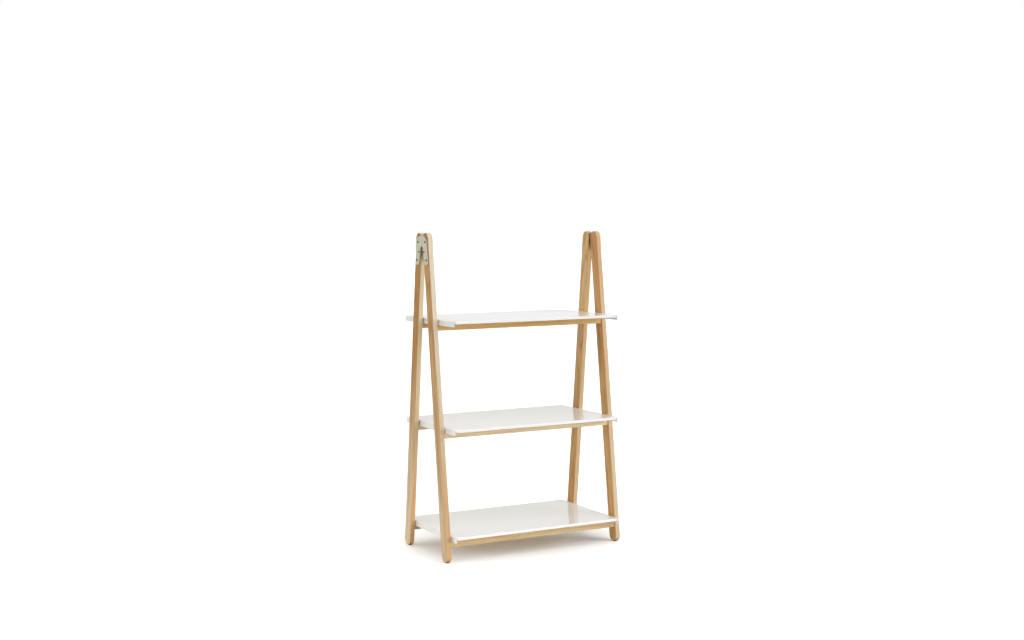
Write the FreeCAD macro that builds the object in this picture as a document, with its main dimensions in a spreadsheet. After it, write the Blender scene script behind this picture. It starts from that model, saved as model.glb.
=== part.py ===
import FreeCAD, Part
import math
import os
import Sketcher

# Bookcase of two ladder frames that lean together, joined by a horseshoe plate on each side.
# Frame: X runs from the left side to the right, the front is at -Y, Z is up,
# and the origin is on the floor under the middle. Lengths are millimetres.

doc = FreeCAD.newDocument("bookcase")
sheet = doc.addObject("Spreadsheet::Sheet", "Sizes")

SIZES = (
    # Whole object
    ("overall_height", "1270", "floor to the rounded tops of the legs"),
    ("top_half_spread", "27", "leg centre line from the middle, at the overall height"),
    ("foot_half_spread", "179.5", "leg centre line from the middle, at the floor"),
    # Legs
    ("leg_width", "51", "leg across its wide face, and the diameter of its round ends"),
    ("leg_thickness", "20", "leg from outer face to inner face"),
    ("leg_edge_round", "2", "rounding of the long edges of a leg"),
    # Shelves
    ("shelf_length", "735", "shelf from end lip to end lip"),
    ("shelf_depth", "454", "shelf from front to back"),
    ("shelf_side_gap", "4", "air between an end lip and the leg beside it"),
    ("shelf_low_height", "104", "top face of the lowest shelf above the floor"),
    ("shelf_pitch", "415", "from one shelf to the next"),
    ("sheet_thickness", "1.5", "steel sheet of a shelf"),
    ("bend_radius", "3", "outer radius of the folds of a shelf"),
    ("lip_height", "21.5", "end lip, from the top face down"),
    ("flange_height", "10.5", "front and back flange, from the top face down"),
    ("corner_return", "1", "flat part of an end lip that turns round the corner"),
    ("relief_width", "4", "open slot between an end lip and a long flange"),
    ("notch_clearance", "1", "air on each side of a rail in the notch of an end lip"),
    # Rails
    ("rail_height", "41.5", "rail from its top face down"),
    ("rail_thickness", "20", "rail from front to back"),
    ("rail_setback", "5", "rail behind the outer edge of the leg, at half its height"),
    ("rail_edge_round", "2", "rounding of the long edges of a rail"),
    # Dowels that join the rails to the legs
    ("dowel_diameter", "8", "beech dowel"),
    ("dowel_spacing", "20", "between the two dowels of a joint"),
    ("dowel_in_leg", "13", "dowel inside the leg"),
    ("dowel_in_rail", "19", "dowel inside the rail"),
    ("dowel_chamfer", "0.8", "bevel at the ends of a dowel"),
    ("dowel_end_clearance", "1", "glue space past each end of a dowel"),
    # Horseshoe plates
    ("plate_thickness", "3", "steel of a plate"),
    ("plate_drop", "9.5", "top of a plate below the tops of the legs"),
    ("plate_length", "118", "plate from its crown to the ends of its arms"),
    ("plate_inset", "7.3", "arm of a plate inside the long edges of the leg"),
    ("plate_crown_radius", "75", "arch of a plate in the middle"),
    ("plate_shoulder_radius", "30", "arch of a plate where it turns down"),
    ("plate_slot_drop", "43", "top of the slot below the crown of a plate"),
    ("plate_slot_radius", "11", "round top of the slot"),
    ("plate_edge_round", "0.8", "rounding of the outer edges of a plate"),
    # Screws of the plates
    ("high_screw_drop", "26.5", "upper screws below the crown of the plate"),
    ("high_screw_offset", "3", "upper screws outside the centre line of the leg"),
    ("mid_screw_drop", "65", "middle screws below the crown of the plate"),
    ("mid_screw_offset", "13", "middle screws inside the centre line of the leg"),
    ("low_screw_drop", "97.5", "lower screws below the crown of the plate"),
    ("low_screw_offset", "5", "lower screws outside the centre line of the leg"),
    ("screw_head_diameter", "7.6", "button head"),
    ("screw_head_height", "2.2", "button head"),
    ("screw_head_round", "1.2", "rounding of the button head"),
    ("screw_shank_diameter", "4.2", "screw in the wood"),
    ("screw_length", "18", "screw under its head"),
    ("screw_socket_width", "2.5", "hexagon socket, across the flats"),
    ("screw_socket_depth", "1.4", "hexagon socket"),
    # Screws and weld nuts that hold the shelves down
    ("bolt_spread", "500", "between the two bolts of a rail"),
    ("bolt_diameter", "5", "shelf bolt"),
    ("bolt_clearance", "0.3", "air round a shelf bolt in the rail"),
    ("bolt_head_diameter", "8.5", "head of a shelf bolt"),
    ("bolt_head_height", "5", "head of a shelf bolt"),
    ("bolt_socket_width", "4", "hexagon socket, across the flats"),
    ("bolt_socket_depth", "2.5", "hexagon socket"),
    ("counterbore_clearance", "0.5", "air round the head of a shelf bolt"),
    ("counterbore_depth", "9", "seat of the bolt head above the bottom of the rail"),
    ("bolt_tip_gap", "1", "end of a bolt below the shelf sheet"),
    ("nut_diameter", "10", "weld nut"),
    ("nut_height", "5", "weld nut"),
    ("nut_clearance", "1", "air round a weld nut in the rail"),
    ("thread_clearance", "0.1", "between a bolt and its nut"),
    # Glides under the feet
    ("glide_diameter", "16", "glide"),
    ("glide_thickness", "3", "glide under the leg"),
    ("glide_edge", "0.8", "bevel at the bottom of a glide"),
    ("glide_seat_depth", "1.6", "flat that is cut from the round end of the leg"),
    ("glide_pin_diameter", "2.5", "pin of a glide"),
    ("glide_pin_length", "12", "pin of a glide inside the leg"),
    # Cutting
    ("overrun", "5", "how far a cut runs past what it cuts"),
)

for row, (alias, number, meaning) in enumerate(SIZES, start=1):
    sheet.set("A%d" % row, meaning)
    sheet.set("B%d" % row, number)
    sheet.setAlias("B%d" % row, alias)
doc.recompute()

# Two points nearer than this share of a millimetre are the same point.
SAME_PLACE = 0.001

LEFT, RIGHT = -1, 1
FRONT, BACK = -1, 1
LEVELS = ("lower", "middle", "upper")


def value(formula):
    """The number that a formula gives."""
    result = sheet.evalExpression(formula)
    return float(getattr(result, "Value", result))


def signed(sign, formula):
    """A formula on the negative or the positive side of the middle."""
    return "-(%s)" % formula if sign < 0 else "(%s)" % formula


# Places that several pieces share, written as formulas of the sizes.
INNER_FACE = "(Sizes.shelf_length / 2 + Sizes.shelf_side_gap)"
OUTER_FACE = "(Sizes.shelf_length / 2 + Sizes.shelf_side_gap + Sizes.leg_thickness)"
SPREAD_RATE = "((Sizes.foot_half_spread - Sizes.top_half_spread) / Sizes.overall_height)"
LEAN = "atan(%s)" % SPREAD_RATE
PLATE_TOP = "(Sizes.overall_height - Sizes.plate_drop)"


def leg_centre(height):
    """Distance of a leg's centre line from the middle at a height."""
    return "(Sizes.top_half_spread + %s * (Sizes.overall_height - (%s)))" % (SPREAD_RATE, height)


def shelf_height(level):
    """Top face of a shelf."""
    return "(Sizes.shelf_low_height + %d * Sizes.shelf_pitch)" % level


def rail_top(level):
    """Top face of the rails of a shelf, on which its sheet lies."""
    return "(%s - Sizes.sheet_thickness)" % shelf_height(level)


def rail_centre(level):
    """Distance of a rail's middle plane from the middle of the bookcase."""
    half_height = "(%s - Sizes.rail_height / 2)" % rail_top(level)
    leg_edge = "%s + Sizes.leg_width / 2 / cos(%s)" % (leg_centre(half_height), LEAN)
    return "(%s - Sizes.rail_setback - Sizes.rail_thickness / 2)" % leg_edge


def dowel_heights(level):
    """Heights of the two dowels of a joint."""
    middle = "%s - Sizes.rail_height / 2" % rail_top(level)
    return ("(%s + Sizes.dowel_spacing / 2)" % middle, "(%s - Sizes.dowel_spacing / 2)" % middle)


def plate_screw_places():
    """Distance from the middle and height of the screws on one leg."""
    places = []
    for name, side in (("high", "+"), ("mid", "-"), ("low", "+")):
        height = "(%s - Sizes.%s_screw_drop)" % (PLATE_TOP, name)
        places.append(("(%s %s Sizes.%s_screw_offset)" % (leg_centre(height), side, name), height))
    return places


def new_body(label):
    body = doc.addObject("PartDesign::Body", label)
    body.Label = label
    return body


def new_sketch(body, plane, offset="0"):
    """A sketch on an origin plane of its own body, moved along the plane's normal."""
    sketch = body.newObject("Sketcher::SketchObject", "Sketch")
    origin = [part for part in body.Origin.OriginFeatures if part.Role == plane]
    sketch.AttachmentSupport = [(origin[0], "")]
    sketch.MapMode = "FlatFace"
    sketch.setExpression("AttachmentOffset.Base.z", offset)
    return sketch


def fix(sketch, kind, places, formula):
    """A size of a sketch that follows a formula. A new angle is given in radians."""
    number = value(formula)
    if kind == "Angle":
        number = math.radians(number)
    index = sketch.addConstraint(Sketcher.Constraint(kind, *places, number))
    sketch.setExpression("Constraints[%d]" % index, formula)


def fix_point(sketch, shape, point, across, up):
    """Holds a point of a sketch at a place from its origin."""
    for axis, kind, formula in ((-2, "DistanceX", across), (-1, "DistanceY", up)):
        if formula == "0":
            sketch.addConstraint(Sketcher.Constraint("PointOnObject", shape, point, axis))
        else:
            fix(sketch, kind, (-1, 1, shape, point), formula)


def draw_outline(sketch, corners):
    """A closed outline of straight lines through corners given as formulas."""
    points = [FreeCAD.Vector(value(across), value(up), 0) for across, up in corners]
    first = sketch.GeometryCount
    count = len(points)
    for index in range(count):
        sketch.addGeometry(Part.LineSegment(points[index], points[(index + 1) % count]), False)
    for index in range(count):
        following = first + (index + 1) % count
        sketch.addConstraint(Sketcher.Constraint("Coincident", first + index, 2, following, 1))
    for index, (across, up) in enumerate(corners):
        fix_point(sketch, first + index, 1, across, up)


def draw_rectangle(sketch, left, right, bottom, top):
    draw_outline(sketch, ((left, bottom), (right, bottom), (right, top), (left, top)))


def draw_circles(sketch, places, diameter):
    """Round holes or shanks at places given as formulas."""
    for across, up in places:
        centre = FreeCAD.Vector(value(across), value(up), 0)
        circle = Part.Circle(centre, FreeCAD.Vector(0, 0, 1), value(diameter) / 2)
        index = sketch.addGeometry(circle, False)
        fix(sketch, "Diameter", (index,), diameter)
        fix_point(sketch, index, 3, across, up)


def draw_hexagons(sketch, places, width):
    """Hexagons of one width across the flats, at places given as formulas."""
    for across, up in places:
        corners = []
        for corner in range(6):
            turn = 30 + 60 * corner
            corners.append(("%s + %s / 2 / cos(30 deg) * cos(%d deg)" % (across, width, turn),
                            "%s + %s / 2 / cos(30 deg) * sin(%d deg)" % (up, width, turn)))
        draw_outline(sketch, corners)


def add_pad(body, sketch, length, middle=False, reverse=False):
    pad = body.newObject("PartDesign::Pad", "Pad")
    pad.Profile = sketch
    pad.setExpression("Length", length)
    pad.Midplane = middle
    pad.Reversed = reverse
    sketch.Visibility = False
    doc.recompute()
    return pad


def add_pocket(body, sketch, depth=None, middle=False, reverse=False):
    """A cut, right through where it has no depth. It has to take something away."""
    before = body.Shape.Volume
    pocket = body.newObject("PartDesign::Pocket", "Pocket")
    pocket.Profile = sketch
    if depth is None:
        pocket.Type = "ThroughAll"
    else:
        pocket.setExpression("Length", depth)
    pocket.Midplane = middle
    pocket.Reversed = reverse
    sketch.Visibility = False
    doc.recompute()
    if not body.Shape.Volume < before - SAME_PLACE:
        raise RuntimeError("a cut in %s takes nothing away" % body.Label)
    return pocket


def edges_of(feature, wanted):
    """Names of the edges that pass a test."""
    edges = enumerate(feature.Shape.Edges, start=1)
    return ["Edge%d" % number for number, edge in edges if wanted(edge)]


def dress_edges(body, kind, size, wanted):
    """A fillet or a chamfer on the edges of the last feature that pass a test."""
    base = body.Tip
    dressed = body.newObject("PartDesign::" + kind, kind)
    dressed.Base = (base, edges_of(base, wanted))
    dressed.setExpression("Radius" if kind == "Fillet" else "Size", size)
    doc.recompute()
    return dressed


def level_in(axis, edge, place=None):
    """Whether an edge lies in a plane square to an axis, at a place if one is given."""
    low = getattr(edge.BoundBox, axis + "Min")
    high = getattr(edge.BoundBox, axis + "Max")
    if high - low > SAME_PLACE:
        return False
    return place is None or abs(low - value(place)) < SAME_PLACE


# Legs

def draw_leg_outline(sketch, row):
    """A board with two straight sides and two round ends, drawn leaning."""
    top_height = "(Sizes.overall_height - Sizes.leg_width / 2)"
    foot_height = "(Sizes.glide_thickness - Sizes.glide_seat_depth + Sizes.leg_width / 2)"
    top = FreeCAD.Vector(row * value(leg_centre(top_height)), value(top_height), 0)
    foot = FreeCAD.Vector(row * value(leg_centre(foot_height)), value(foot_height), 0)
    radius = value("Sizes.leg_width / 2")
    upward = top - foot
    slope = math.atan2(upward.y, upward.x)
    normal = FreeCAD.Vector(0, 0, 1)
    quarter = math.pi / 2
    top_arc = Part.ArcOfCircle(Part.Circle(top, normal, radius), slope - quarter, slope + quarter)
    foot_arc = Part.ArcOfCircle(Part.Circle(foot, normal, radius),
                                slope + quarter, slope + 3 * quarter)
    sketch.addGeometry(top_arc, False)
    sketch.addGeometry(Part.LineSegment(top_arc.EndPoint, foot_arc.StartPoint), False)
    sketch.addGeometry(foot_arc, False)
    sketch.addGeometry(Part.LineSegment(foot_arc.EndPoint, top_arc.StartPoint), False)
    for shape in range(4):
        following = (shape + 1) % 4
        sketch.addConstraint(Sketcher.Constraint("Tangent", shape, 2, following, 1))
    sketch.addConstraint(Sketcher.Constraint("Equal", 0, 2))
    fix(sketch, "Radius", (0,), "Sizes.leg_width / 2")
    fix_point(sketch, 0, 3, signed(row, leg_centre(top_height)), top_height)
    fix_point(sketch, 2, 3, signed(row, leg_centre(foot_height)), foot_height)


def make_leg(label, row, side):
    """A leg, with its outer face at x = 0 of its body on the left side, its inner on the right."""
    body = new_body(label)
    near_face = signed(LEFT, OUTER_FACE) if side == LEFT else INNER_FACE
    body.setExpression("Placement.Base.x", near_face)

    outline = new_sketch(body, "YZ_Plane")
    draw_leg_outline(outline, row)
    add_pad(body, outline, "Sizes.leg_thickness")
    dress_edges(body, "Fillet", "Sizes.leg_edge_round", lambda edge: level_in("X", edge))

    inner_at = "Sizes.leg_thickness" if side == LEFT else "0"
    outer_at = "0" if side == LEFT else "Sizes.leg_thickness"

    dowels = []
    for level in range(len(LEVELS)):
        for height in dowel_heights(level):
            dowels.append((signed(row, rail_centre(level)), height))
    holes = new_sketch(body, "YZ_Plane", inner_at)
    draw_circles(holes, dowels, "Sizes.dowel_diameter")
    depth = "Sizes.dowel_in_leg + Sizes.dowel_end_clearance"
    add_pocket(body, holes, depth, reverse=side == RIGHT)

    pilots = new_sketch(body, "YZ_Plane", outer_at)
    places = [(signed(row, across), height) for across, height in plate_screw_places()]
    draw_circles(pilots, places, "Sizes.screw_shank_diameter")
    depth = "Sizes.screw_length - Sizes.plate_thickness"
    add_pocket(body, pilots, depth, reverse=side == LEFT)

    centre = ("Sizes.leg_thickness / 2", signed(row, leg_centre("Sizes.glide_thickness")))
    seat = new_sketch(body, "XY_Plane", "Sizes.glide_thickness")
    draw_rectangle(seat, "-Sizes.overrun", "Sizes.leg_thickness + Sizes.overrun",
                   "%s - Sizes.leg_width" % centre[1], "%s + Sizes.leg_width" % centre[1])
    add_pocket(body, seat, "Sizes.glide_seat_depth + Sizes.overrun")

    pin = new_sketch(body, "XY_Plane", "Sizes.glide_thickness")
    draw_circles(pin, (glide_place(row),), "Sizes.glide_pin_diameter")
    add_pocket(body, pin, "Sizes.glide_pin_length", reverse=True)
    return body


# Glides

def glide_place(row):
    """The lowest point of a leg's round end, from its near face and from the middle."""
    foot_height = "(Sizes.glide_thickness - Sizes.glide_seat_depth + Sizes.leg_width / 2)"
    return ("Sizes.leg_thickness / 2", signed(row, leg_centre(foot_height)))


def make_glide(label, row, side):
    """A nailed glide: a flat disc with a bevelled rim and a pin that goes up into the leg."""
    body = new_body(label)
    body.setExpression("Placement.Base.x",
                       signed(side, "(%s - Sizes.leg_thickness / 2)" % OUTER_FACE))
    body.setExpression("Placement.Base.y", glide_place(row)[1])
    profile = new_sketch(body, "XZ_Plane")
    top = "Sizes.glide_thickness"
    tip = "Sizes.glide_thickness + Sizes.glide_pin_length"
    draw_outline(profile, (
        ("0", "0"),
        ("Sizes.glide_diameter / 2 - Sizes.glide_edge", "0"),
        ("Sizes.glide_diameter / 2", "Sizes.glide_edge"),
        ("Sizes.glide_diameter / 2", top),
        ("Sizes.glide_pin_diameter / 2", top),
        ("Sizes.glide_pin_diameter / 2", tip),
        ("0", tip),
    ))
    turned = body.newObject("PartDesign::Revolution", "Revolution")
    turned.Profile = profile
    turned.ReferenceAxis = (profile, ["V_Axis"])
    turned.Angle = 360
    profile.Visibility = False
    doc.recompute()
    return body


# Rails

def make_rail(label, row, level):
    """A level rail that butts against the inner faces of two legs."""
    body = new_body(label)
    centre = signed(row, rail_centre(level))
    top = rail_top(level)
    bottom = "(%s - Sizes.rail_height)" % top

    section = new_sketch(body, "YZ_Plane")
    draw_rectangle(section, "%s - Sizes.rail_thickness / 2" % centre,
                   "%s + Sizes.rail_thickness / 2" % centre, bottom, top)
    add_pad(body, section, "2 * %s" % INNER_FACE, middle=True)
    dress_edges(body, "Fillet", "Sizes.rail_edge_round", lambda edge: not level_in("X", edge))

    holes = new_sketch(body, "YZ_Plane", INNER_FACE)
    places = [(centre, height) for height in dowel_heights(level)]
    draw_circles(holes, places, "Sizes.dowel_diameter")
    drilled = add_pocket(body, holes, "Sizes.dowel_in_rail + Sizes.dowel_end_clearance")
    other_end = body.newObject("PartDesign::Mirrored", "Mirrored")
    other_end.Originals = [drilled]
    middle_plane = [part for part in body.Origin.OriginFeatures if part.Role == "YZ_Plane"]
    other_end.MirrorPlane = (middle_plane[0], [""])
    body.Tip = other_end
    doc.recompute()

    bolts = [(signed(side, "Sizes.bolt_spread / 2"), centre) for side in (LEFT, RIGHT)]
    bores = new_sketch(body, "XY_Plane", bottom)
    draw_circles(bores, bolts, "Sizes.bolt_diameter + 2 * Sizes.bolt_clearance")
    add_pocket(body, bores, "Sizes.rail_height + Sizes.overrun", reverse=True)
    heads = new_sketch(body, "XY_Plane", bottom)
    draw_circles(heads, bolts, "Sizes.bolt_head_diameter + 2 * Sizes.counterbore_clearance")
    add_pocket(body, heads, "Sizes.counterbore_depth", reverse=True)
    nuts = new_sketch(body, "XY_Plane", top)
    draw_circles(nuts, bolts, "Sizes.nut_diameter + 2 * Sizes.nut_clearance")
    add_pocket(body, nuts, "Sizes.nut_height + Sizes.nut_clearance")
    return body


# Shelves

def make_shelf(label, level):
    """A folded sheet: deep lips at the ends, shallow flanges along the front and the back."""
    body = new_body(label)
    body.setExpression("Placement.Base.z", shelf_height(level))

    plan = new_sketch(body, "XY_Plane")
    draw_rectangle(plan, "-Sizes.shelf_length / 2", "Sizes.shelf_length / 2",
                   "-Sizes.shelf_depth / 2", "Sizes.shelf_depth / 2")
    add_pad(body, plan, "Sizes.lip_height", reverse=True)
    dress_edges(body, "Fillet", "Sizes.bend_radius",
                lambda edge: not level_in("Z", edge, "-Sizes.lip_height"))

    block = body.Tip
    faces = enumerate(block.Shape.Faces, start=1)
    open_side = ["Face%d" % number for number, face in faces
                 if level_in("Z", face, "-Sizes.lip_height")]
    folded = body.newObject("PartDesign::Thickness", "Thickness")
    folded.Base = (block, open_side)
    folded.setExpression("Value", "Sizes.sheet_thickness")
    folded.Reversed = True
    folded.Join = "Arc"
    doc.recompute()

    end_of_lip = "Sizes.bend_radius + Sizes.corner_return"
    flange_end = "(Sizes.shelf_length / 2 - (%s))" % end_of_lip
    below = "-(Sizes.lip_height + Sizes.overrun)"
    flanges = new_sketch(body, "XZ_Plane")
    draw_rectangle(flanges, "-%s" % flange_end, flange_end, below, "-Sizes.flange_height")
    add_pocket(body, flanges, "Sizes.shelf_depth + Sizes.overrun", middle=True)
    for side in (LEFT, RIGHT):
        slot = new_sketch(body, "XZ_Plane")
        draw_rectangle(slot, signed(side, flange_end),
                       signed(side, "(%s - Sizes.relief_width)" % flange_end),
                       below, "-Sizes.bend_radius")
        add_pocket(body, slot, "Sizes.shelf_depth + Sizes.overrun", middle=True)

    half_notch = "(Sizes.rail_thickness / 2 + Sizes.notch_clearance)"
    for row in (FRONT, BACK):
        centre = signed(row, rail_centre(level))
        notch = new_sketch(body, "YZ_Plane")
        draw_rectangle(notch, "%s - %s" % (centre, half_notch), "%s + %s" % (centre, half_notch),
                       below, "-Sizes.sheet_thickness")
        add_pocket(body, notch, "Sizes.shelf_length + Sizes.overrun", middle=True)
    return body


# Horseshoe plates

def draw_plate_outline(sketch):
    """An arch whose arms run down the middle of the two legs, with a slot between them."""
    arm_radius = "(Sizes.leg_width / 2 - Sizes.plate_inset)"
    arm_end = "(%s - Sizes.plate_length + %s)" % (PLATE_TOP, arm_radius)
    crown_centre = "(%s - Sizes.plate_crown_radius)" % PLATE_TOP
    slot_centre = "(%s - Sizes.plate_slot_drop - Sizes.plate_slot_radius)" % PLATE_TOP

    # The outer line of an arm leans as its leg does. The shoulder touches it and the crown.
    lean = math.radians(value(LEAN))
    along = FreeCAD.Vector(math.sin(lean), -math.cos(lean), 0)
    outward = FreeCAD.Vector(math.cos(lean), math.sin(lean), 0)
    end = FreeCAD.Vector(value(leg_centre(arm_end)), value(arm_end), 0)
    crown = FreeCAD.Vector(0, value(crown_centre), 0)
    slot = FreeCAD.Vector(0, value(slot_centre), 0)
    shoulder_radius = value("Sizes.plate_shoulder_radius")
    crown_radius = value("Sizes.plate_crown_radius")
    slot_radius = value("Sizes.plate_slot_radius")
    end_radius = value(arm_radius)
    # The shoulder's centre moves along a line beside the arm until it touches the crown.
    start = end + outward * (end_radius - shoulder_radius)
    reach = crown_radius - shoulder_radius
    towards = start - crown
    half = towards.dot(along)
    travel = -half - math.sqrt(half * half - towards.dot(towards) + reach * reach)
    shoulder = start + along * travel
    crown_turn = math.atan2(shoulder.y - crown.y, shoulder.x - crown.x)
    outward_turn = math.atan2(outward.y, outward.x)
    # The slot's side touches the round top of the slot and, on its other side, the arm's end.
    between = end - slot
    opening = math.acos((slot_radius + end_radius) / between.Length)
    slot_turn = math.atan2(between.y, between.x) + opening

    normal = FreeCAD.Vector(0, 0, 1)

    def arc(centre, radius, first, last):
        return Part.ArcOfCircle(Part.Circle(centre, normal, radius), first, last)

    def mirrored(point):
        return FreeCAD.Vector(-point.x, point.y, 0)

    shapes = [
        arc(crown, crown_radius, crown_turn, math.pi - crown_turn),
        arc(shoulder, shoulder_radius, outward_turn, crown_turn),
        arc(end, end_radius, slot_turn - math.pi, outward_turn),
        arc(slot, slot_radius, slot_turn, math.pi - slot_turn),
        arc(mirrored(shoulder), shoulder_radius, math.pi - crown_turn, math.pi - outward_turn),
        arc(mirrored(end), end_radius, math.pi - outward_turn, 2 * math.pi - slot_turn),
    ]
    for shape in shapes:
        sketch.addGeometry(shape, False)
    sketch.addGeometry(Part.LineSegment(shapes[2].EndPoint, shapes[1].StartPoint), False)
    sketch.addGeometry(Part.LineSegment(shapes[3].StartPoint, shapes[2].StartPoint), False)
    sketch.addGeometry(Part.LineSegment(shapes[4].EndPoint, shapes[5].StartPoint), False)
    sketch.addGeometry(Part.LineSegment(shapes[5].EndPoint, shapes[3].EndPoint), False)
    joints = ((0, 1, 1, 2), (1, 1, 6, 2), (6, 1, 2, 2), (2, 1, 7, 2), (7, 1, 3, 1),
              (0, 2, 4, 1), (4, 2, 8, 1), (8, 2, 5, 1), (5, 2, 9, 1), (9, 2, 3, 2))
    for joint in joints:
        sketch.addConstraint(Sketcher.Constraint("Tangent", *joint))
    fix(sketch, "Radius", (0,), "Sizes.plate_crown_radius")
    fix(sketch, "Radius", (3,), "Sizes.plate_slot_radius")
    fix_point(sketch, 0, 3, "0", crown_centre)
    fix_point(sketch, 3, 3, "0", slot_centre)
    for shoulder_arc, end_arc, sign in ((1, 2, RIGHT), (4, 5, LEFT)):
        fix(sketch, "Radius", (shoulder_arc,), "Sizes.plate_shoulder_radius")
        fix(sketch, "Radius", (end_arc,), arm_radius)
        fix_point(sketch, end_arc, 3, signed(sign, leg_centre(arm_end)), arm_end)
    fix(sketch, "Angle", (-2, 1, 6, 1), LEAN)
    fix(sketch, "Angle", (8, 2, -2, 1), LEAN)


def make_plate(label, side):
    """A horseshoe plate on the outer faces of the two legs of one side."""
    body = new_body(label)
    body.setExpression("Placement.Base.x", signed(side, OUTER_FACE))
    outline = new_sketch(body, "YZ_Plane")
    draw_plate_outline(outline)
    add_pad(body, outline, "Sizes.plate_thickness", reverse=side == LEFT)
    outer = signed(side, "Sizes.plate_thickness")
    dress_edges(body, "Fillet", "Sizes.plate_edge_round", lambda edge: level_in("X", edge, outer))
    holes = new_sketch(body, "YZ_Plane")
    draw_circles(holes, both_rows(plate_screw_places()), "Sizes.screw_shank_diameter")
    add_pocket(body, holes, "Sizes.plate_thickness + Sizes.overrun", reverse=side == RIGHT)
    return body


def both_rows(places):
    """The same places on the front and the back leg."""
    return [(signed(row, across), height) for row in (FRONT, BACK) for across, height in places]


def make_plate_screws(label, side):
    """The six button-head screws of a plate, each a solid of its own."""
    body = new_body(label)
    body.AllowCompound = True
    seat = "(%s + Sizes.plate_thickness)" % OUTER_FACE
    body.setExpression("Placement.Base.x", signed(side, seat))
    places = both_rows(plate_screw_places())
    heads = new_sketch(body, "YZ_Plane")
    draw_circles(heads, places, "Sizes.screw_head_diameter")
    add_pad(body, heads, "Sizes.screw_head_height", reverse=side == LEFT)
    outer = signed(side, "Sizes.screw_head_height")
    dress_edges(body, "Fillet", "Sizes.screw_head_round", lambda edge: level_in("X", edge, outer))
    shanks = new_sketch(body, "YZ_Plane")
    draw_circles(shanks, places, "Sizes.screw_shank_diameter")
    add_pad(body, shanks, "Sizes.screw_length", reverse=side == RIGHT)
    sockets = new_sketch(body, "YZ_Plane", outer)
    draw_hexagons(sockets, places, "Sizes.screw_socket_width")
    add_pocket(body, sockets, "Sizes.screw_socket_depth", reverse=side == LEFT)
    return body


# Dowels

def make_dowels(label, row, side):
    """The six dowels of one leg, two for each rail."""
    body = new_body(label)
    body.AllowCompound = True
    body.setExpression("Placement.Base.x", signed(side, INNER_FACE))
    places = []
    for level in range(len(LEVELS)):
        for height in dowel_heights(level):
            places.append((signed(row, rail_centre(level)), height))
    start = signed(side, "Sizes.dowel_in_leg")
    section = new_sketch(body, "YZ_Plane", start)
    draw_circles(section, places, "Sizes.dowel_diameter")
    length = "Sizes.dowel_in_leg + Sizes.dowel_in_rail"
    add_pad(body, section, length, reverse=side == RIGHT)
    dress_edges(body, "Chamfer", "Sizes.dowel_chamfer", lambda edge: level_in("X", edge))
    return body


# Bolts and nuts of the shelves

def bolt_places(level):
    places = []
    for side in (LEFT, RIGHT):
        for row in (FRONT, BACK):
            places.append((signed(side, "Sizes.bolt_spread / 2"), signed(row, rail_centre(level))))
    return places


def make_shelf_bolts(label, level):
    """The four bolts of a shelf, which go up through its rails."""
    body = new_body(label)
    body.AllowCompound = True
    seat = "%s - Sizes.rail_height + Sizes.counterbore_depth" % rail_top(level)
    body.setExpression("Placement.Base.z", seat)
    places = bolt_places(level)
    heads = new_sketch(body, "XY_Plane")
    draw_circles(heads, places, "Sizes.bolt_head_diameter")
    add_pad(body, heads, "Sizes.bolt_head_height", reverse=True)
    shanks = new_sketch(body, "XY_Plane")
    draw_circles(shanks, places, "Sizes.bolt_diameter")
    add_pad(body, shanks, "Sizes.rail_height - Sizes.counterbore_depth - Sizes.bolt_tip_gap")
    sockets = new_sketch(body, "XY_Plane", "-Sizes.bolt_head_height")
    draw_hexagons(sockets, places, "Sizes.bolt_socket_width")
    add_pocket(body, sockets, "Sizes.bolt_socket_depth", reverse=True)
    return body


def make_weld_nuts(label, level):
    """The four nuts that are welded under a shelf and sit in the tops of its rails."""
    body = new_body(label)
    body.AllowCompound = True
    body.setExpression("Placement.Base.z", rail_top(level))
    places = bolt_places(level)
    rings = new_sketch(body, "XY_Plane")
    draw_circles(rings, places, "Sizes.nut_diameter")
    add_pad(body, rings, "Sizes.nut_height", reverse=True)
    bores = new_sketch(body, "XY_Plane")
    draw_circles(bores, places, "Sizes.bolt_diameter + 2 * Sizes.thread_clearance")
    add_pocket(body, bores, "Sizes.nut_height + Sizes.overrun")
    return body


SIDE_NAMES = ((LEFT, "left"), (RIGHT, "right"))
ROW_NAMES = ((FRONT, "front"), (BACK, "back"))

nodes = []
for row, row_name in ROW_NAMES:
    for side, side_name in SIDE_NAMES:
        corner = "%s_%s" % (row_name, side_name)
        nodes.append(make_leg(corner + "_leg", row, side))
        nodes.append(make_glide(corner + "_glide", row, side))
        nodes.append(make_dowels(corner + "_dowels", row, side))
    for level, level_name in enumerate(LEVELS):
        nodes.append(make_rail("%s_%s_rail" % (row_name, level_name), row, level))
for level, level_name in enumerate(LEVELS):
    nodes.append(make_shelf(level_name + "_shelf", level))
    nodes.append(make_shelf_bolts(level_name + "_shelf_bolts", level))
    nodes.append(make_weld_nuts(level_name + "_weld_nuts", level))
for side, side_name in SIDE_NAMES:
    nodes.append(make_plate(side_name + "_joining_plate", side))
    nodes.append(make_plate_screws(side_name + "_plate_screws", side))

doc.recompute()

# Nothing is written unless every object and every shape is sound.
for item in doc.Objects:
    if "Invalid" in item.State or "Error" in item.State:
        raise RuntimeError("%s failed: %s" % (item.Label, item.State))
for node in nodes:
    if node.Shape.isNull() or not node.Shape.isValid() or not node.Shape.Solids:
        raise RuntimeError("%s has no sound solid" % node.Label)

os.makedirs("parts", exist_ok=True)
for node in nodes:
    node.Shape.exportStep(os.path.join("parts", node.Label + ".step"))
    box = node.Shape.BoundBox
    print("%-22s solids %d  volume %10.1f  x %7.1f %7.1f  y %7.1f %7.1f  z %7.1f %7.1f" % (
        node.Label, len(node.Shape.Solids), node.Shape.Volume,
        box.XMin, box.XMax, box.YMin, box.YMax, box.ZMin, box.ZMax))
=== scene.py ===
import math

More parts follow.
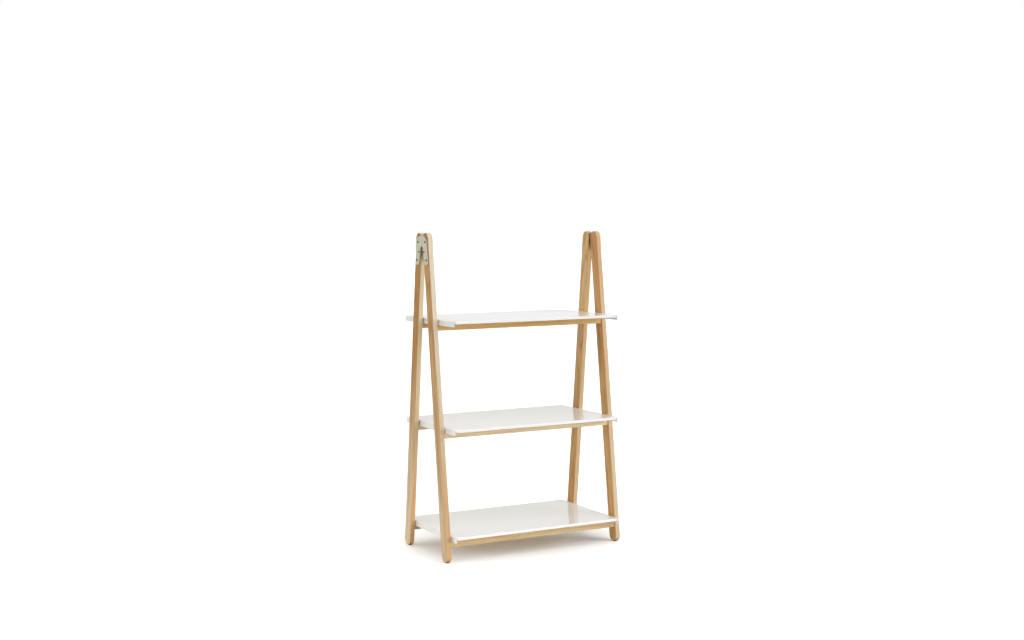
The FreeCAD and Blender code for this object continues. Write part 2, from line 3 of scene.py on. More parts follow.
import bmesh
import bpy
from mathutils import Matrix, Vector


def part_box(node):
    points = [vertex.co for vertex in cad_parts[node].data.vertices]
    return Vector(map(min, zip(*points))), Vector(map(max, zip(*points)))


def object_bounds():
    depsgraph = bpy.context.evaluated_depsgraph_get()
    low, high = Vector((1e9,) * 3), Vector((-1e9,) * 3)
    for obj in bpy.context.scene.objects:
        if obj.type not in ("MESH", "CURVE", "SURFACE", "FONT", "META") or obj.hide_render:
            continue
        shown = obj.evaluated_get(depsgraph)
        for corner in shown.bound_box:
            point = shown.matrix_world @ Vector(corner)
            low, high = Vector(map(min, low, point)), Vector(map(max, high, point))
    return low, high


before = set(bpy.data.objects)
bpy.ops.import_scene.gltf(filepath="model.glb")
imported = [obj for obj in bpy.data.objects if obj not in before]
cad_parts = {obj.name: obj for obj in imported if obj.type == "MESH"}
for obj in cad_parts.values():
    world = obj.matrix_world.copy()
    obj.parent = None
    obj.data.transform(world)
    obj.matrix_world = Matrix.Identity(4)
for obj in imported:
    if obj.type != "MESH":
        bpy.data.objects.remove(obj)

bl_info = {
    "name": "Leaning Bookcase",
    "version": (1, 0, 0),
    "blender": (4, 5, 0),
    "location": "3D Viewport > Sidebar > Bookcase",
    "description": "Finishes a bookcase of ash ladder frames, white sheet shelves and zinc plates",
    "category": "Object",
}

CAD_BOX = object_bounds()
MM = 0.001

ROWS = ("front", "back")
SIDES = ("left", "right")
LEVELS = ("lower", "middle", "upper")
CORNERS = tuple("%s_%s" % (row, side) for row in ROWS for side in SIDES)


def linear(hex_colour):
    """An sRGB hex colour as linear red, green, blue and alpha."""
    channels = []
    for start in (1, 3, 5):
        level = int(hex_colour[start:start + 2], 16) / 255
        channels.append(level / 12.92 if level <= 0.04045 else ((level + 0.055) / 1.055) ** 2.4)
    return (*channels, 1.0)


# What a user may change


def colour_value(name, description, hex_colour):
    return bpy.props.FloatVectorProperty(name=name, description=description, subtype="COLOR",
                                         size=4, min=0, max=1, default=linear(hex_colour))


def length_value(name, description, default):
    return bpy.props.FloatProperty(name=name, description=description, default=default,
                                   min=0, unit="LENGTH", precision=5)


def angle_value(name, description, degrees):
    return bpy.props.FloatProperty(name=name, description=description,
                                   default=math.radians(degrees), subtype="ANGLE")


def level_value(name, description, default):
    return bpy.props.FloatProperty(name=name, description=description, default=default, min=0)


class BookcaseWood(bpy.types.PropertyGroup):
    """Ash boards and beech dowels."""
    stain_colour: colour_value("Stain", "Tints every board of ash, and white is none", "#FFFFFF")
    # Painted shade in the gap where the legs meet, and under the feet
    gap_shade_colour: colour_value("Gap", "Dust and lacquer where the legs meet", "#6B4A2B")
    early_tint: colour_value("Early wood", "How much darker it is than late wood", "#CFBB9F")
    pore_colour: colour_value("Pores", "Open pores of the early wood", "#7E532B")
    dowel_colour: colour_value("Dowels", "Beech of the dowels", "#CDA878")
    fleck_colour: colour_value("Flecks", "Flecks in the beech", "#D0A56D")
    ring_width: length_value("Ring width", "Growth ring of ash", 3.2 * MM)
    pore_width: length_value("Pore width", "Width of the drawn pores", 0.7 * MM)
    pore_length: length_value("Pore length", "Length of the drawn pores", 16 * MM)
    streak_width: length_value("Streak width", "Darker streaks along the grain", 5 * MM)
    streak_length: length_value("Streak length", "Darker streaks along the grain", 240 * MM)
    leg_lean: angle_value("Lean", "Lean of a leg from upright", 6.85)


class BookcaseMetal(bpy.types.PropertyGroup):
    """Sheet shelves, joining plates and fasteners."""
    enamel_colour: colour_value("Powder coat", "White of the shelves", "#E7E6E3")
    zinc_colour: colour_value("Zinc", "Passivated zinc of the joining plates", "#C0BFAD")
    screw_colour: colour_value("Black oxide", "Screws of the joining plates", "#56544F")
    bright_colour: colour_value("Bright zinc", "Bolts and nuts under the shelves", "#B9BABB")
    peel_size: length_value("Orange peel", "Ripple of the powder coat", 2.5 * MM)
    brush_width: length_value("Brush lines", "Lines of the brushed zinc", 0.8 * MM)


class BookcasePlastic(bpy.types.PropertyGroup):
    """Glides under the feet."""
    glide_colour: colour_value("Glides", "Black polyethylene of the glides", "#1B1A19")


class BookcaseStage(bpy.types.PropertyGroup):
    """Floor, light and camera."""
    floor_colour: colour_value("Floor", "Plain white floor", "#FFFFFF")
    # Painted warm light on the floor under the bookcase, seen by the camera only
    under_colour: colour_value("Floor under it", "Floor that the wood warms", "#F7EBD8")
    floor_size: length_value("Floor size", "Side of the floor", 120.0)
    sky_colour: colour_value("Sky", "Soft light from all round", "#FFFDF8")
    sky_level: level_value("Sky level", "Where the sky is brightest", 1.16)
    sky_dark_share: level_value("Sky's dark side", "Share of its level", 0.12)
    sky_turn: angle_value("Sky turn", "Bright side, from the back to the right", -54)
    mirrored_level: level_value("Mirrored level", "Backdrop in reflections", 0.89)
    key_colour: colour_value("Lamps", "Colour of the key and fill lights", "#FAFBFF")
    key_level: level_value("Key level", "Soft light from above: share of white it adds", 0.45)
    key_height: angle_value("Key height", "Height over the floor", 48)
    key_turn: angle_value("Key turn", "Turn from the front to the right", 20)
    key_softness: angle_value("Key softness", "Size of the light", 50)
    fill_level: level_value("Fill level", "Low soft light from the front", 0.57)
    fill_height: angle_value("Fill height", "Height over the floor", 9)
    fill_turn: angle_value("Fill turn", "Turn from the front to the right", 45)
    fill_softness: angle_value("Fill softness", "Size of the light", 30)
    paper_reach: length_value("Paper", "Reach of the paper that throws light back", 1.7)
    # The near glow is painted light that lifts the shadow under the bookcase
    near_glow: colour_value("Near glow", "Light through the paper under the bookcase", "#42382B")
    far_glow: colour_value("Far glow", "Light through the paper round the bookcase", "#89898E")
    camera_place: bpy.props.FloatVectorProperty(name="Camera", description="Place of the camera",
                                                default=(-2.6568, -5.0035, 1.3031),
                                                subtype="TRANSLATION", unit="LENGTH")
    camera_turn: angle_value("Turn", "Camera's turn to the right", 28.005)
    camera_tilt: angle_value("Tilt", "Camera's tilt upwards", -3.931)
    camera_roll: angle_value("Roll", "Camera's roll", -0.390)
    camera_lens: bpy.props.FloatProperty(name="Lens", description="Focal length in millimetres",
                                         default=49.28, min=1)


# Tools for materials


def set_inputs(tree, node, inputs):
    """Sets inputs of a node, each to a value or to the socket that feeds it."""
    for name, source in inputs.items():
        if isinstance(source, bpy.types.NodeSocket):
            tree.links.new(source, node.inputs[name])
        else:
            node.inputs[name].default_value = source


def add_node(tree, kind, settings, inputs):
    """Adds a node."""
    node = tree.nodes.new(kind)
    for name, setting in settings.items():
        setattr(node, name, setting)
    set_inputs(tree, node, inputs)
    return node


def new_material(name):
    """A material, its node tree, its Principled BSDF, and the place on an object in metres."""
    material = bpy.data.materials.new(name)
    material.use_nodes = True
    tree = material.node_tree
    place = add_node(tree, "ShaderNodeTexCoord", {}, {}).outputs["Object"]
    return material, tree, tree.nodes["Principled BSDF"], place


def maths(tree, operation, *values, clamp=False):
    """A calculation with one to three numbers."""
    return add_node(tree, "ShaderNodeMath", {"operation": operation, "use_clamp": clamp},
                    dict(enumerate(values))).outputs["Value"]


def vector_maths(tree, operation, *values, output="Vector"):
    """A calculation with one or two vectors."""
    return add_node(tree, "ShaderNodeVectorMath", {"operation": operation},
                    dict(enumerate(values))).outputs[output]


def remap(tree, value, source=(0.0, 1.0), result=(0.0, 1.0), kind="LINEAR"):
    """Turns a number between the ends of source into one between the ends of result."""
    return add_node(tree, "ShaderNodeMapRange", {"interpolation_type": kind}, {
        "Value": value, "From Min": source[0], "From Max": source[1],
        "To Min": result[0], "To Max": result[1]}).outputs["Result"]


def ramp(tree, value, stops):
    """Turns a number into a grey level. A stop is a place and the level there."""
    node = add_node(tree, "ShaderNodeValToRGB", {}, {"Fac": value})
    elements = node.color_ramp.elements
    while len(elements) < len(stops):
        elements.new(0.5)   # at any place, because each gets its own below
    for element, (place, level) in zip(elements, stops):
        element.position = place
        element.color = (level, level, level, 1)
    return node.outputs["Color"]


def mix(tree, share, first, second, kind="MIX"):
    """Mixes two colours. Several sockets of this node share a name, so these go by number."""
    return add_node(tree, "ShaderNodeMix", {"data_type": "RGBA", "blend_type": kind}, {
        "Factor": share, 6: first, 7: second}).outputs[2]


def scaled(tree, place, scale):
    """A place times scale, so that a texture there is as many times finer."""
    return add_node(tree, "ShaderNodeMapping", {}, {
        "Vector": place, "Scale": scale}).outputs["Vector"]


def noise(tree, place, scale=1.0, detail=2.0, roughness=0.5, output="Fac"):
    """Noise with as many lumps in each metre as scale says."""
    return add_node(tree, "ShaderNodeTexNoise", {}, {
        "Vector": place, "Scale": scale, "Detail": detail,
        "Roughness": roughness}).outputs[output]


def lines(tree, place, width, length, **looks):
    """Noise that is drawn out along Z."""
    return noise(tree, scaled(tree, place, (1 / width, 1 / width, 1 / length)), **looks)


def bumps(tree, height, strength, depth, invert=False):
    """Small relief on a surface."""
    return add_node(tree, "ShaderNodeBump", {"invert": invert}, {
        "Height": height, "Strength": strength, "Distance": depth}).outputs["Normal"]


def stained(hex_colour, wood):
    """A shade of ash under the stain."""
    return tuple(shade * stain for shade, stain in zip(linear(hex_colour), wood.stain_colour))


# Ash. A noise and a share lie between 0 and 1.
TRUNK_BENDS = (9.0, 9.0, 1.3)          # bends per metre, across the grain and along it
TRUNK_BEND_ROUGHNESS = 0.45
TRUNK_SWAY = (34 * MM, 34 * MM, 0)     # reach of the bends, across the grain only
MIDDLE_GREY = (0.5, 0.5, 0.5)          # mean of a noise
YEAR_RHYTHM = 0.35                     # how often wide rings follow narrow ones, per ring
EARLY_WOOD = (                         # its share through the year, from spring to spring
    (0.0, 0.55), (0.10, 1.0), (0.34, 0.55), (0.62, 0.12), (0.92, 0.0), (1.0, 0.55))
STREAK_NOISE = (0.3, 0.75)             # where a streak starts, and where it is darkest
STREAK_ROUGHNESS = 0.6
PORE_NOISE = (0.54, 0.70)              # where a pore starts, and where it is deepest
RING_SHARE = 0.25                      # early wood in the tone of the board
RING_SHARE_IN_STREAKS = 0.45           # what a streak adds to that
STREAK_SHARE = 0.4                     # streaks in the tone of the board
PORE_SHARE = 0.55                      # open pores over that tone
FACE_NORMAL = (0.3, 0.85)              # sideways part of the normal, from edge to wide face
LACQUER_ROUGHNESS = (0.52, 0.64)       # over late wood, and over early wood
LACQUER_SPECULAR = 0.2
RING_RELIEF = 0.35                     # depth of the early wood, in depths of a pore
GRAIN_STRENGTH = 0.35
GRAIN_DEPTH = 0.12 * MM

# Painted shade on the legs
GAP_NORMAL = (0.5, 0.85)               # part of the normal that points at the other leg
GAP_SHADE_FADE = 40 * MM                    # the painted shade starts this far below its full part
GAP_SHADE_SHARE = 0.9
FOOT_NORMAL = (-0.4, -0.95)            # upward part of the normal, round the foot
FOOT_SHADOW_SHARE = 0.7


def ash(name, turn, heart, run, shades, wood, gap=None):
    """Flat-sawn ash, planed and finished with matt lacquer. Growth rings run round a heart
    beside the board, so wide faces show long arches, edges show straight lines and round ends
    show end grain. The early wood is full of open pores. The late wood is brown near the heart
    and pale near the bark, so each board has shades of its own; these shades also hold painted
    light and shade, so edges are paler where light and sheen fall, and tones change from end to
    end as the light does. run names the axis along the board and where it starts and ends. shades
    gives the late wood's shade at both, first on the wide faces and then on the edges. gap is for
    a leg that meets another at its top: the side it meets it on, and the height from which the
    painted shade between them is full. Such a leg also gets painted shade under its foot."""
    material, tree, surface, place = new_material(name)
    grain = add_node(tree, "ShaderNodeMapping", {}, {
        "Vector": place, "Rotation": turn, "Location": heart}).outputs["Vector"]

    # Slow bends of the trunk: about one in 0.8 m along the grain, a few millimetres sideways.
    bend = noise(tree, scaled(tree, grain, TRUNK_BENDS), roughness=TRUNK_BEND_ROUGHNESS,
                 output="Color")
    sway = vector_maths(tree, "MULTIPLY", vector_maths(tree, "SUBTRACT", bend, MIDDLE_GREY),
                        TRUNK_SWAY)
    bent = vector_maths(tree, "ADD", grain, sway)
    across = vector_maths(tree, "MULTIPLY", bent, (1, 1, 0))
    radius = vector_maths(tree, "LENGTH", across, output="Value")

    # Rings: each starts with a dark porous line and fades into pale wood.
    years = maths(tree, "DIVIDE", radius, wood.ring_width)
    uneven = add_node(tree, "ShaderNodeTexNoise", {"noise_dimensions": "1D"}, {
        "W": years, "Scale": YEAR_RHYTHM, "Detail": 1.0}).outputs["Fac"]
    season = maths(tree, "FRACT", maths(tree, "ADD", years, uneven))
    early = ramp(tree, season, EARLY_WOOD)

    # Streaks of darker wood along the grain.
    streak = remap(tree, lines(tree, bent, wood.streak_width, wood.streak_length, detail=3.0,
                               roughness=STREAK_ROUGHNESS), STREAK_NOISE)

    # Pores are 0.3 mm wide in ash. Here they are coarser, so that they show at this distance.
    pore = remap(tree, lines(tree, bent, wood.pore_width, wood.pore_length, detail=1.0),
                 PORE_NOISE)
    open_pore = maths(tree, "MULTIPLY", pore, early)

    ring_share = maths(tree, "MULTIPLY_ADD", streak, RING_SHARE_IN_STREAKS, RING_SHARE)
    rings = maths(tree, "MULTIPLY", early, ring_share)
    darkness = maths(tree, "MULTIPLY_ADD", streak, STREAK_SHARE, rings, clamp=True)

    # The board's shades from end to end, and on faces and edges: the wood's tone with painted
    # light and shade.
    axis, start, end = run
    on_board = add_node(tree, "ShaderNodeSeparateXYZ", {}, {"Vector": place})
    along = remap(tree, on_board.outputs[axis], (start, end))
    on_faces, on_edges = (mix(tree, along, stained(first, wood), stained(last, wood))
                          for first, last in shades)
    geometry = add_node(tree, "ShaderNodeNewGeometry", {}, {})
    facing = add_node(tree, "ShaderNodeSeparateXYZ", {}, {"Vector": geometry.outputs["Normal"]})
    sideways = maths(tree, "ABSOLUTE", facing.outputs["X"])
    late = mix(tree, remap(tree, sideways, FACE_NORMAL), on_edges, on_faces)
    early_tone = mix(tree, 1.0, late, wood.early_tint, kind="MULTIPLY")

    colour = mix(tree, darkness, late, early_tone)
    colour = mix(tree, maths(tree, "MULTIPLY", open_pore, PORE_SHARE), colour, wood.pore_colour)
    if gap:
        # Painted shade darkens the faces that meet at the tops of two legs, out of the light.
        side, height = gap
        inwards = remap(tree, facing.outputs["Y"], tuple(part * side for part in GAP_NORMAL))
        raised = remap(tree, on_board.outputs["Z"], (height - GAP_SHADE_FADE, height),
                       (0.0, GAP_SHADE_SHARE))
        in_gap = maths(tree, "MULTIPLY", inwards, raised)
        # Painted shade darkens the end grain under the foot.
        under_foot = remap(tree, facing.outputs["Z"], FOOT_NORMAL, (0.0, FOOT_SHADOW_SHARE))
        colour = mix(tree, maths(tree, "MAXIMUM", in_gap, under_foot), colour, wood.gap_shade_colour)

    # Lacquer is a little duller over the porous wood, and dips into the pores.
    relief = maths(tree, "MULTIPLY_ADD", early, RING_RELIEF, open_pore)
    set_inputs(tree, surface, {
        "Base Color": colour,
        "Roughness": remap(tree, early, result=LACQUER_ROUGHNESS),
        "Specular IOR Level": LACQUER_SPECULAR,
        "Normal": bumps(tree, relief, GRAIN_STRENGTH, GRAIN_DEPTH, invert=True)})
    return material


# Beech
FLECK_LENGTH = 6 * MM
FLECK_WIDTH = 0.6 * MM
RAW_ROUGHNESS = 0.65


def beech(wood):
    """Turned beech, raw: short pale flecks along the dowel, and no finish."""
    material, tree, surface, place = new_material("raw_turned_beech")
    fleck = noise(tree, scaled(tree, place, (1 / FLECK_LENGTH, 1 / FLECK_WIDTH, 1 / FLECK_WIDTH)))
    set_inputs(tree, surface, {
        "Base Color": mix(tree, fleck, wood.dowel_colour, wood.fleck_colour),
        "Roughness": RAW_ROUGHNESS})
    return material


# Powder coat
PEEL_STRENGTH = 0.12
PEEL_DEPTH = 0.03 * MM
WIPED_PATCH = 90 * MM
COAT_ROUGHNESS = (0.08, 0.12)


def powder_coat(metal):
    """Polyester powder coat on steel sheet, glossy white. The baked coat has a fine ripple,
    called orange peel, and mirrors the legs softly at low angles."""
    material, tree, surface, place = new_material("white_gloss_powder_coat")
    ripple = noise(tree, place, 1 / metal.peel_size, detail=1.0)
    # The gloss varies a little over a hand's breadth, as wiped sheet does.
    cloud = noise(tree, place, 1 / WIPED_PATCH, detail=3.0)
    set_inputs(tree, surface, {
        "Base Color": metal.enamel_colour,
        "Roughness": remap(tree, cloud, result=COAT_ROUGHNESS),
        "Normal": bumps(tree, ripple, PEEL_STRENGTH, PEEL_DEPTH)})
    return material


# Brushed zinc
BRUSH_LENGTH = 40 * MM
BRUSH_ROUGHNESS = (0.36, 0.5)
BRUSH_STRENGTH = 0.1
BRUSH_DEPTH = 0.05 * MM
TARNISH_PATCH = 18 * MM
TARNISH = (0.9, 1.06)                  # times the colour of the zinc


def brushed_zinc(metal):
    """Laser-cut steel plate, brushed and plated with passivated zinc: a grey metal with a faint
    green, dull along the brush lines."""
    material, tree, surface, place = new_material("passivated_brushed_zinc")
    brush = lines(tree, place, metal.brush_width, BRUSH_LENGTH)
    tint = remap(tree, noise(tree, place, 1 / TARNISH_PATCH, detail=3.0), result=TARNISH)
    set_inputs(tree, surface, {
        "Base Color": mix(tree, 1.0, metal.zinc_colour, tint, kind="MULTIPLY"),
        "Metallic": 1.0,
        "Roughness": remap(tree, brush, result=BRUSH_ROUGHNESS),
        "Normal": bumps(tree, brush, BRUSH_STRENGTH, BRUSH_DEPTH)})
    return material


def fastener_metal(name, colour, grit, roughness):
    """Small steel parts, tumbled and plated or blackened: an even tone with fine grit."""
    material, tree, surface, place = new_material(name)
    set_inputs(tree, surface, {
        "Base Color": colour,
        "Metallic": 1.0,
        "Roughness": remap(tree, noise(tree, place, 1 / grit), result=roughness)})
    return material


# Polyethylene
MOULD_GRAIN = 0.5 * MM
MOULD_STRENGTH = 0.2
MOULD_DEPTH = 0.05 * MM
MOULD_ROUGHNESS = (0.5, 0.62)


def polyethylene(plastic):
    """Moulded black polyethylene with a fine matt grain."""
    material, tree, surface, place = new_material("moulded_black_polyethylene")
    grain = add_node(tree, "ShaderNodeTexVoronoi", {}, {
        "Vector": place, "Scale": 1 / MOULD_GRAIN}).outputs["Distance"]
    set_inputs(tree, surface, {
        "Base Color": plastic.glide_colour,
        "Roughness": remap(tree, grain, result=MOULD_ROUGHNESS),
        "Normal": bumps(tree, grain, MOULD_STRENGTH, MOULD_DEPTH)})
    return material


# Tools for pieces

SAME_PLACE = 0.005 * MM                # corners nearer than this are one corner
SHARP_ANGLE = math.radians(32)         # a round edge turns less than this at each of its lines
FACE_WEIGHT = 50                       # how strongly flat faces lead the normals beside them


def dress(node_name, material):
    """Gives a CAD node its material, and shades its round edges smoothly."""
    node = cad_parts[node_name]
    node.data.materials.clear()
    node.data.materials.append(material)
    node.data.polygons.foreach_set("use_smooth", [True] * len(node.data.polygons))
    node.data.update()
    weld = node.modifiers.new("Weld", "WELD")
    weld.merge_threshold = SAME_PLACE
    split = node.modifiers.new("Corners", "EDGE_SPLIT")
    split.split_angle = SHARP_ANGLE
    flat = node.modifiers.new("Flat faces", "WEIGHTED_NORMAL")
    flat.keep_sharp = True
    flat.weight = FACE_WEIGHT


# Legs, rails and dowels

# The heart of each board lies beside its outer or inner face, at a place of its own. Faces and
# edges give their late wood at foot and top, which holds the wood's tone and painted light and
# shade: paler lit edges, and ends darker or paler as the light falls. top_shade_at is the height
# where the shade of the top is full: the back left board turns brown lower down than the others.
LEG_BOARDS = {
    "front_left": {"heart": (0.475, 0.186, 0.0), "top_shade_at": 0.9,
                   "faces": ("#D1B893", "#CB9F68"), "edges": ("#CCAC82", "#E6DDC7")},
    "front_right": {"heart": (-0.300, 0.168, 0.4), "top_shade_at": 0.9,
                    "faces": ("#D7AC72", "#CEA26B"), "edges": ("#D2C1A4", "#DDBC98")},
    "back_left": {"heart": (0.302, -0.190, 0.9), "top_shade_at": 0.8,
                  "faces": ("#DDCCAC", "#BE8D4D"), "edges": ("#D8B181", "#E6D6B8")},
    "back_right": {"heart": (-0.470, -0.172, 1.5), "top_shade_at": 0.9,
                   "faces": ("#C89A5E", "#D7B584"), "edges": ("#D6BF9A", "#D9B888")},
}
FOOT_SHADE_TOP = 0.2                   # height up to which the foot's shade is full
# Height from which the painted shade in the gap between two legs is full
GAP_SHADE_HEIGHT = {"left": 1.185, "right": 1.225}

# Late wood of each level's rails, at their left and right ends, with painted light and shade from
# under each shelf
RAIL_SHADES = {
    "lower": ("#D9C096", "#DEC69B"),
    "middle": ("#F2DFBC", "#F6E4C1"),
    "upper": ("#ECC282", "#ECC688"),
}
RAIL_HEART_RISE = 35 * MM              # heart above the middle of the lower rails
RAIL_HEART_STEP = 12 * MM              # more for each level above them
RAIL_HEART_BEHIND = 55 * MM
RAIL_GRAIN_STEP = 0.7                  # along the trunk, from one level to the next


class BOOKCASE_OT_legs(bpy.types.Operator):
    """Finish the four leaning legs in ash, each with its own grain"""
    bl_idname = "bookcase.legs"
    bl_label = "Legs"

    def execute(self, context):
        wood = context.scene.bookcase_wood
        for corner in CORNERS:
            row, side = corner.split("_")
            board = LEG_BOARDS[corner]
            # A leg leans towards the other row.
            inwards = 1 if row == "front" else -1
            material = ash("lacquered_ash_%s_leg" % corner, (inwards * wood.leg_lean, 0, 0),
                           board["heart"], ("Z", FOOT_SHADE_TOP, board["top_shade_at"]),
                           (board["faces"], board["edges"]), wood, (inwards, GAP_SHADE_HEIGHT[side]))
            dress(corner + "_leg", material)
        return {"FINISHED"}


class BOOKCASE_OT_rails(bpy.types.Operator):
    """Finish the six rails in ash, with the grain from side to side"""
    bl_idname = "bookcase.rails"
    bl_label = "Rails"

    def execute(self, context):
        wood = context.scene.bookcase_wood
        for row in ROWS:
            for level, level_name in enumerate(LEVELS):
                name = "%s_%s_rail" % (row, level_name)
                low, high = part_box(name)
                middle = (low + high) / 2
                # Turned so that the grain runs along X, with the heart above and behind.
                heart = (middle.z + (RAIL_HEART_RISE + RAIL_HEART_STEP * level),
                         -middle.y + RAIL_HEART_BEHIND, RAIL_GRAIN_STEP * level)
                shades = RAIL_SHADES[level_name]
                material = ash("lacquered_ash_%s" % name, (0, -math.pi / 2, 0), heart,
                               ("X", low.x, high.x), (shades, shades), wood)
                dress(name, material)
        return {"FINISHED"}


class BOOKCASE_OT_dowels(bpy.types.Operator):
    """Finish the dowels that join rails and legs"""
    bl_idname = "bookcase.dowels"
    bl_label = "Dowels"

    def execute(self, context):
        material = beech(context.scene.bookcase_wood)
        for corner in CORNERS:
            dress(corner + "_dowels", material)
        return {"FINISHED"}


# Shelves


class BOOKCASE_OT_shelves(bpy.types.Operator):
    """Finish the three folded shelves in white powder coat"""
    bl_idname = "bookcase.shelves"
    bl_label = "Shelves"

    def execute(self, context):
        material = powder_coat(context.scene.bookcase_metal)
        for level in LEVELS:
            dress(level + "_shelf", material)
        return {"FINISHED"}


class BOOKCASE_OT_shelf_fasteners(bpy.types.Operator):
    """Finish the bolts and weld nuts that hold the shelves down"""
    bl_idname = "bookcase.shelf_fasteners"
    bl_label = "Shelf Fasteners"

    def execute(self, context):
        metal = context.scene.bookcase_metal
        material = fastener_metal("bright_zinc_plate", metal.bright_colour,
                                  grit=0.6 * MM, roughness=(0.25, 0.35))
        for level in LEVELS:
            dress(level + "_shelf_bolts", material)
            dress(level + "_weld_nuts", material)
        return {"FINISHED"}


# Joining plates and their screws


class BOOKCASE_OT_plates(bpy.types.Operator):
    """Finish the two horseshoe plates in brushed zinc"""
    bl_idname = "bookcase.plates"
    bl_label = "Joining Plates"

    def execute(self, context):
        material = brushed_zinc(context.scene.bookcase_metal)
        for side in SIDES:
            dress(side + "_joining_plate", material)
        return {"FINISHED"}


class BOOKCASE_OT_plate_screws(bpy.types.Operator):
    """Finish the screws of the joining plates"""
    bl_idname = "bookcase.plate_screws"
    bl_label = "Plate Screws"

    def execute(self, context):
        metal = context.scene.bookcase_metal
        material = fastener_metal("black_oxide_steel", metal.screw_colour,
                                  grit=0.4 * MM, roughness=(0.35, 0.5))
        for side in SIDES:
            dress(side + "_plate_screws", material)
        return {"FINISHED"}


# Glides


class BOOKCASE_OT_glides(bpy.types.Operator):
    """Finish the nailed glides under the feet"""
    bl_idname = "bookcase.glides"
    bl_label = "Glides"

    def execute(self, context):
        material = polyethylene(context.scene.bookcase_plastic)
        for corner in CORNERS:
            dress(corner + "_glide", material)
        return {"FINISHED"}


# Stage

WHITE = (1, 1, 1, 1)
BLACK = (0, 0, 0, 1)
SKY_FADE = (-0.45, 0.35)               # from the dark side to the bright one, as a cosine
PAPER_FADE = (0.6, 1.8)                # where the paper turns grey, in reaches of the paper
PAPER_GREY = 0.75                      # how much of its white is gone there
UNDER_IT = (0.95, 0.3)                 # from plain to warm floor, in half sizes of the bookcase
GLOW_FADE = (0.9, 1.7)                 # from near to far glow, in the same


def white_backdrop(stage):
    """World: white to the camera, and nearly so in reflections. For everything else it is a soft
    sky that is brightest behind the bookcase on the left, as where a white wall is lit."""
    world = bpy.data.worlds.new("studio")
    world.use_nodes = True
    tree = world.node_tree
    tree.nodes.clear()
    ray = add_node(tree, "ShaderNodeLightPath", {}, {})
    mirrored = maths(tree, "MAXIMUM", ray.outputs["Is Glossy Ray"],
                     ray.outputs["Is Transmission Ray"])
    seen = maths(tree, "MAXIMUM", ray.outputs["Is Camera Ray"], mirrored)
    towards = add_node(tree, "ShaderNodeTexCoord", {}, {})
    bright_side = (math.sin(stage.sky_turn), math.cos(stage.sky_turn), 0.0)
    side = vector_maths(tree, "DOT_PRODUCT", towards.outputs["Generated"], bright_side,
                        output="Value")
    level = remap(tree, side, SKY_FADE,
                  (stage.sky_level * stage.sky_dark_share, stage.sky_level))
    sky = add_node(tree, "ShaderNodeBackground", {}, {
        "Color": stage.sky_colour, "Strength": level})
    white = remap(tree, ray.outputs["Is Camera Ray"], result=(stage.mirrored_level, 1.0))
    backdrop = add_node(tree, "ShaderNodeBackground", {}, {"Color": WHITE, "Strength": white})
    either = add_node(tree, "ShaderNodeMixShader", {}, {
        0: seen, 1: sky.outputs["Background"], 2: backdrop.outputs["Background"]})
    add_node(tree, "ShaderNodeOutputWorld", {}, {"Surface": either.outputs["Shader"]})
    return world


def paper_floor(stage):
    """Matt white studio paper. Only the paper near the bookcase throws light back at it, and
    the floor further off is grey to all but the camera and reflections."""
    material, tree, surface, place = new_material("matt_white_studio_paper")
    ray = add_node(tree, "ShaderNodeLightPath", {}, {})
    seen = ray.outputs["Is Camera Ray"]
    distance = vector_maths(tree, "LENGTH", place, output="Value")
    far = remap(tree, distance, tuple(share * stage.paper_reach for share in PAPER_FADE),
                (0.0, PAPER_GREY))
    grey = maths(tree, "MULTIPLY", far, ray.outputs["Is Diffuse Ray"])
    # Under the bookcase the camera sees a warm floor colour: painted light for the light that the
    # wood throws on it.
    half_sizes = CAD_BOX[1]
    footprint = scaled(tree, place, (1 / half_sizes[0], 1 / half_sizes[1], 0))
    reach = vector_maths(tree, "LENGTH", footprint, output="Value")
    under = remap(tree, reach, UNDER_IT, kind="SMOOTHSTEP")
    paper = mix(tree, maths(tree, "MULTIPLY", under, seen), stage.floor_colour,
                stage.under_colour)
    # The floor glows to the camera: far off the glow keeps it white, and near the bookcase the
    # warm glow is painted light that lifts its shadow.
    glow = remap(tree, reach, GLOW_FADE, kind="SMOOTHSTEP")
    set_inputs(tree, surface, {
        "Base Color": mix(tree, grey, paper, BLACK),
        "Roughness": 1.0,
        "Specular IOR Level": 0.0,
        "Emission Color": mix(tree, glow, stage.near_glow, stage.far_glow),
        "Emission Strength": seen})
    return material


def soft_light(scene, name, colour, level, height, turn, softness):
    """A sun as large as a studio screen. Its level is the light on a face turned to it."""
    lamp = bpy.data.lights.new(name, "SUN")
    lamp.color = colour[:3]
    lamp.energy = level * math.pi
    lamp.angle = softness
    light = bpy.data.objects.new(name, lamp)
    light.rotation_euler = (math.pi / 2 - height, 0, turn)
    # Its mirror image would burn out the gloss of the shelves from some sides.
    light.visible_glossy = False
    scene.collection.objects.link(light)


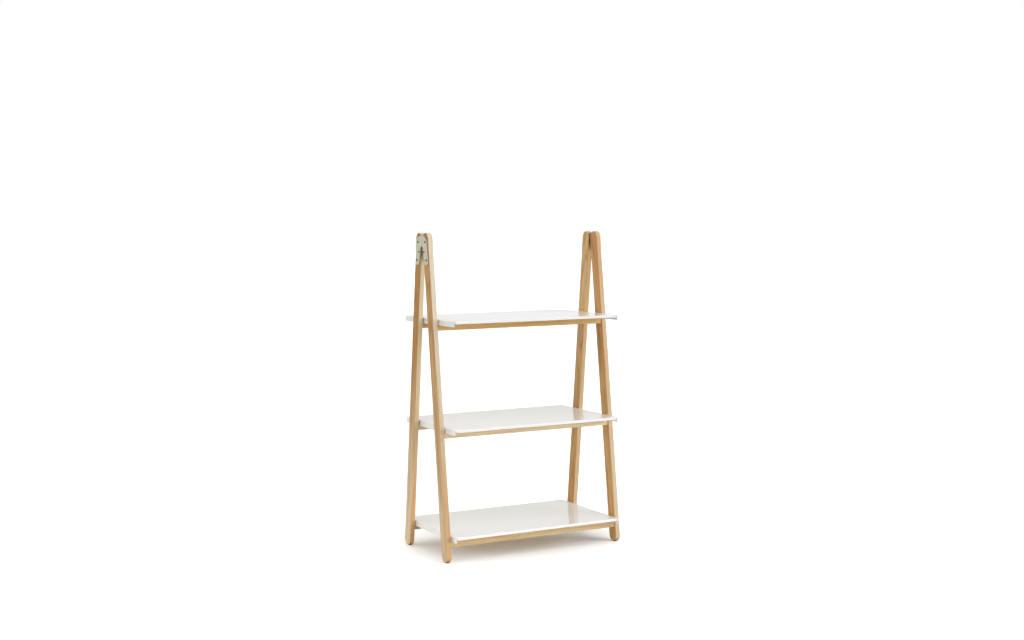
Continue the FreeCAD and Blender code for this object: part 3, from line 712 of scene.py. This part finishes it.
class BOOKCASE_OT_stage(bpy.types.Operator):
    """Build the floor, the light and the camera"""
    bl_idname = "bookcase.stage"
    bl_label = "Stage"

    def execute(self, context):
        stage = context.scene.bookcase_stage
        scene = context.scene
        scene.view_settings.view_transform = "Standard"
        scene.world = white_backdrop(stage)

        shape = bmesh.new()
        bmesh.ops.create_grid(shape, x_segments=1, y_segments=1, size=stage.floor_size / 2)
        mesh = bpy.data.meshes.new("floor")
        shape.to_mesh(mesh)
        shape.free()
        mesh.materials.append(paper_floor(stage))
        floor = bpy.data.objects.new("floor", mesh)
        scene.collection.objects.link(floor)

        soft_light(scene, "key", stage.key_colour, stage.key_level,
                   stage.key_height, stage.key_turn, stage.key_softness)
        soft_light(scene, "fill", stage.key_colour, stage.fill_level,
                   stage.fill_height, stage.fill_turn, stage.fill_softness)

        camera = bpy.data.objects.new("camera", bpy.data.cameras.new("camera"))
        camera.data.lens = stage.camera_lens
        camera.data.clip_end = stage.floor_size
        turn = Matrix.Rotation(-stage.camera_turn, 4, "Z")
        tilt = Matrix.Rotation(math.pi / 2 + stage.camera_tilt, 4, "X")
        roll = Matrix.Rotation(stage.camera_roll, 4, "Z")
        camera.matrix_world = Matrix.Translation(stage.camera_place) @ turn @ tilt @ roll
        scene.collection.objects.link(camera)
        scene.camera = camera
        return {"FINISHED"}


class BOOKCASE_PT_panel(bpy.types.Panel):
    """Lists the steps of the bookcase and what can be changed"""
    bl_idname = "BOOKCASE_PT_panel"
    bl_label = "Bookcase"
    bl_space_type = "VIEW_3D"
    bl_region_type = "UI"
    bl_category = "Bookcase"

    def draw(self, context):
        layout = self.layout
        for operator in OPERATORS:
            layout.operator(operator.bl_idname)
        for holder in GROUPS:
            group = getattr(context.scene, holder)
            box = layout.box()
            for name in group.__annotations__:
                box.prop(group, name)


GROUPS = {
    "bookcase_wood": BookcaseWood,
    "bookcase_metal": BookcaseMetal,
    "bookcase_plastic": BookcasePlastic,
    "bookcase_stage": BookcaseStage,
}
OPERATORS = (
    BOOKCASE_OT_stage,
    BOOKCASE_OT_legs,
    BOOKCASE_OT_rails,
    BOOKCASE_OT_dowels,
    BOOKCASE_OT_shelves,
    BOOKCASE_OT_shelf_fasteners,
    BOOKCASE_OT_plates,
    BOOKCASE_OT_plate_screws,
    BOOKCASE_OT_glides,
)


def register():
    for name, group in GROUPS.items():
        bpy.utils.register_class(group)
        setattr(bpy.types.Scene, name, bpy.props.PointerProperty(type=group))
    for operator in OPERATORS:
        bpy.utils.register_class(operator)
    bpy.utils.register_class(BOOKCASE_PT_panel)


def unregister():
    bpy.utils.unregister_class(BOOKCASE_PT_panel)
    for operator in reversed(OPERATORS):
        bpy.utils.unregister_class(operator)
    for name, group in GROUPS.items():
        delattr(bpy.types.Scene, name)
        bpy.utils.unregister_class(group)


def main():
    register()
    bpy.ops.bookcase.stage()
    bpy.ops.bookcase.legs()
    bpy.ops.bookcase.rails()
    bpy.ops.bookcase.dowels()
    bpy.ops.bookcase.shelves()
    bpy.ops.bookcase.shelf_fasteners()
    bpy.ops.bookcase.plates()
    bpy.ops.bookcase.plate_screws()
    bpy.ops.bookcase.glides()


if __name__ == "__main__":
    main()
